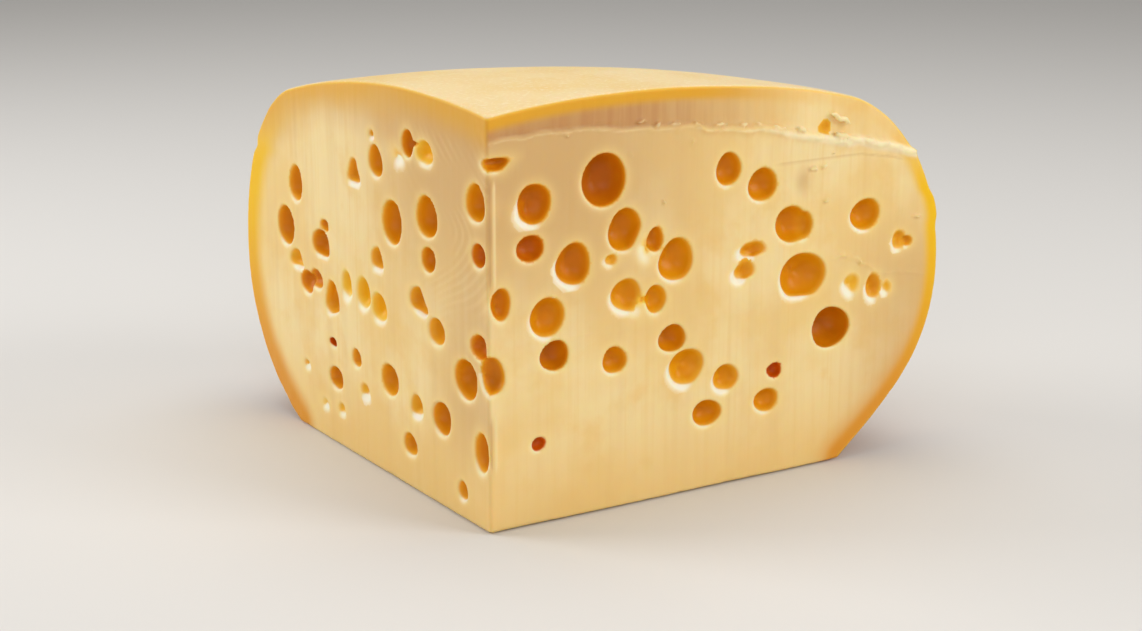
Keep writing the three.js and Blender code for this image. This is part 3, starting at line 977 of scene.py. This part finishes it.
def eye_colour(n, colour, depth, dark, lip):
    """The eye's wall: pale at the rim, then amber, brown or red by how dark the eye is, deepening
    inward as painted shade and bounced light. Where the rim has a soft lip, a pale painted
    highlight reaches further in."""
    start = n.times(lip, LIP_DEPTH)
    inner = n.add("ShaderNodeMath", {0: depth, 1: start}, operation="SUBTRACT").outputs[0]
    share = n.times(inner, 1 / WALL_DEPTH)
    # deepening inward as painted shade and light bounced within the hole
    light = n.ramp(share, [(0.0, rgb(0.96, 0.76, 0.34)), (0.12, rgb(0.95, 0.60, 0.06)),
                           (0.28, rgb(0.92, 0.46, 0.003)), (0.6, rgb(0.88, 0.38, 0.002))])
    full = n.ramp(share, [(0.0, rgb(0.93, 0.66, 0.24)), (0.10, rgb(0.84, 0.36, 0.01)),
                          (0.26, rgb(0.70, 0.22, 0.002)), (0.7, rgb(0.55, 0.15, 0.002))])
    wall = n.mix(n.range(dark, 1, 2), n.mix(dark, light, full), RED_EYE)
    # painted highlight on the soft lower lip, nearly white
    pale = n.mix(n.range(lip, 0.1, 0.8), colour, LIP_HIGHLIGHT_AND_SPECK)
    return n.mix(n.range(inner, 0.05, 0.7), n.mix(n.range(depth, 0.1, 0.8), colour, pale), wall)


def cheese_material():
    material = bpy.data.materials.new("cheese")
    material.use_nodes = True
    n = Nodes(material)
    n.tree.nodes.clear()
    coat = n.attribute("coat")
    depth = n.attribute("depth")
    colour = tan_band_and_shade(n, paste_colour(n), n.attribute("tan_and_shade"))
    colour = glowing_paste(n, rim_colour(n, colour, coat))
    colour = n.mix(n.range(coat, 0.9, 0.35), colour, coat_colour(n))
    colour = eye_colour(n, colour, depth, n.attribute("dark"), n.attribute("lip"))
    rough = n.range(depth, 0.8, 2.5, 0.45, 0.36)
    fine = n.noise(900, (1, 1, 0.05), 3)
    bump = n.add("ShaderNodeBump", {"Height": fine, "Strength": 0.2, "Distance": 0.0003})
    shader = n.add("ShaderNodeBsdfPrincipled", {
        "Base Color": colour, "Roughness": rough, "Normal": bump.outputs[0],
        "Subsurface Weight": 0.4, "Subsurface Radius": (1.0, 0.55, 0.2), "Subsurface Scale": 0.004,
        "Specular IOR Level": 0.16})
    output = n.add("ShaderNodeOutputMaterial")
    n.tree.links.new(shader.outputs[0], output.inputs["Surface"])
    return material


def floor_material():
    material = bpy.data.materials.new("floor")
    material.use_nodes = True
    shader = material.node_tree.nodes["Principled BSDF"]
    shader.inputs["Base Color"].default_value = rgb(0.72, 0.70, 0.67)
    shader.inputs["Roughness"].default_value = 0.7
    return material


# ---------------------------------------------------------------- stage, light and camera
FLOOR_HALF = 8
MIDDLE = (0, 0, 0.07)
CAMERA_PLACE = (0.1734, -0.7309, 0.2511)
CAMERA_DOWN = 15.08       # degrees below level, and to the left
CAMERA_LEFT = 12.95
LENS = 69.67
SENSOR = 36


def make_floor():
    mesh = bpy.data.meshes.new("floor")
    mesh.from_pydata([(x * FLOOR_HALF, y * FLOOR_HALF, 0)
                      for x, y in ((-1, -1), (1, -1), (1, 1), (-1, 1))], [], [(0, 1, 2, 3)])
    floor = bpy.data.objects.new("floor", mesh)
    floor.data.materials.append(floor_material())
    bpy.context.collection.objects.link(floor)


def softbox(name, place, size, power):
    """A rectangular light that faces the wedge's middle."""
    lamp = bpy.data.lights.new(name, "AREA")
    lamp.shape = "RECTANGLE"
    lamp.size, lamp.size_y = size
    lamp.energy = power
    light = bpy.data.objects.new(name, lamp)
    light.location = place
    light.rotation_euler = (Vector(MIDDLE) - Vector(place)).to_track_quat("-Z", "Y").to_euler()
    bpy.context.collection.objects.link(light)


def make_light():
    world = bpy.data.worlds.new("studio")
    world.use_nodes = True
    background = world.node_tree.nodes["Background"]
    background.inputs["Color"].default_value = rgb(1.0, 0.98, 0.95)
    background.inputs["Strength"].default_value = 0.30
    bpy.context.scene.world = world
    softbox("overhead", (0, 0.25, 1.1), (1.0, 0.8), 6.0)
    softbox("left_rear", (-1.1, -0.1, 0.6), (0.6, 0.6), 6.6)
    softbox("right_rear", (1.2, -0.2, 0.7), (0.6, 0.6), 6.8)
    softbox("front", (0.3, -1.5, 0.8), (1.2, 0.8), 6.2)


def make_camera():
    lens = bpy.data.cameras.new("camera")
    lens.sensor_width = SENSOR
    lens.lens = LENS
    lens.clip_start = 0.01
    camera = bpy.data.objects.new("camera", lens)
    camera.location = CAMERA_PLACE
    camera.rotation_euler = (math.radians(90 - CAMERA_DOWN), 0, math.radians(CAMERA_LEFT))
    bpy.context.collection.objects.link(camera)
    bpy.context.scene.camera = camera


# ---------------------------------------------------------------- the scene
wedge, points = sculpt()
thin_out(wedge, points)
mark(wedge.data)
wedge.data.materials.append(cheese_material())
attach(wedge, "root")
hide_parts("cheese_wedge")

make_floor()
make_light()
make_camera()
bpy.context.scene.view_settings.view_transform = "Standard"
